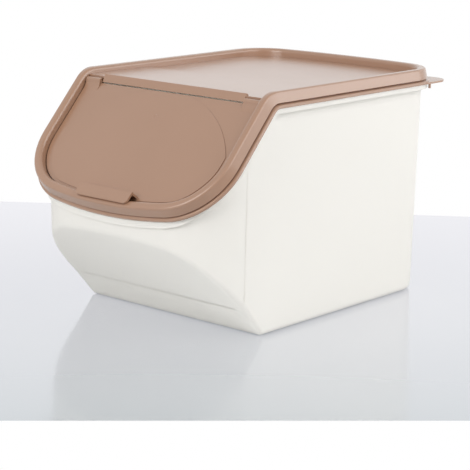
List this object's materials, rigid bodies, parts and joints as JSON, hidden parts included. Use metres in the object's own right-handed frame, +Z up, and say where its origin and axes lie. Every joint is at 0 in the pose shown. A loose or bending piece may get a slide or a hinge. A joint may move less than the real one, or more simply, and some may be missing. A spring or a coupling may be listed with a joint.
{
  "type": "rice bin with flip lid",
  "caption": "Kitchen rice bin: a translucent tub with an undercut front, a press-on rimmed lid, and a hinged flip door with a finger tab in the lid's sloping front.",
  "frame": {"origin": "on the floor under the middle of the whole bin", "axes": "+Z up from the base, the flip door and its finger tab face -Y, +X to the right seen from behind the bin looking over the door"},
  "size_m": [0.242, 0.3661, 0.222],
  "materials": {
    "translucent_polypropylene": "satin",
    "brown_polypropylene": "satin"
  },
  "bodies": {
    "bin": {"bin_body": "translucent_polypropylene"},
    "lid": {"lid": "brown_polypropylene"},
    "door": {"flip_door": "brown_polypropylene"}
  },
  "joints": [
    {"name": "lid_lift", "type": "slide", "parent": "bin", "child": "lid", "axis": [0, 0, 1], "range_m": [0, 0.12]},
    {"name": "door_hinge", "type": "hinge", "parent": "lid", "child": "door", "pos_m": [0, -0.09155, 0.2114], "axis": [-1, 0, 0], "range_deg": [0, 150]}
  ]
}
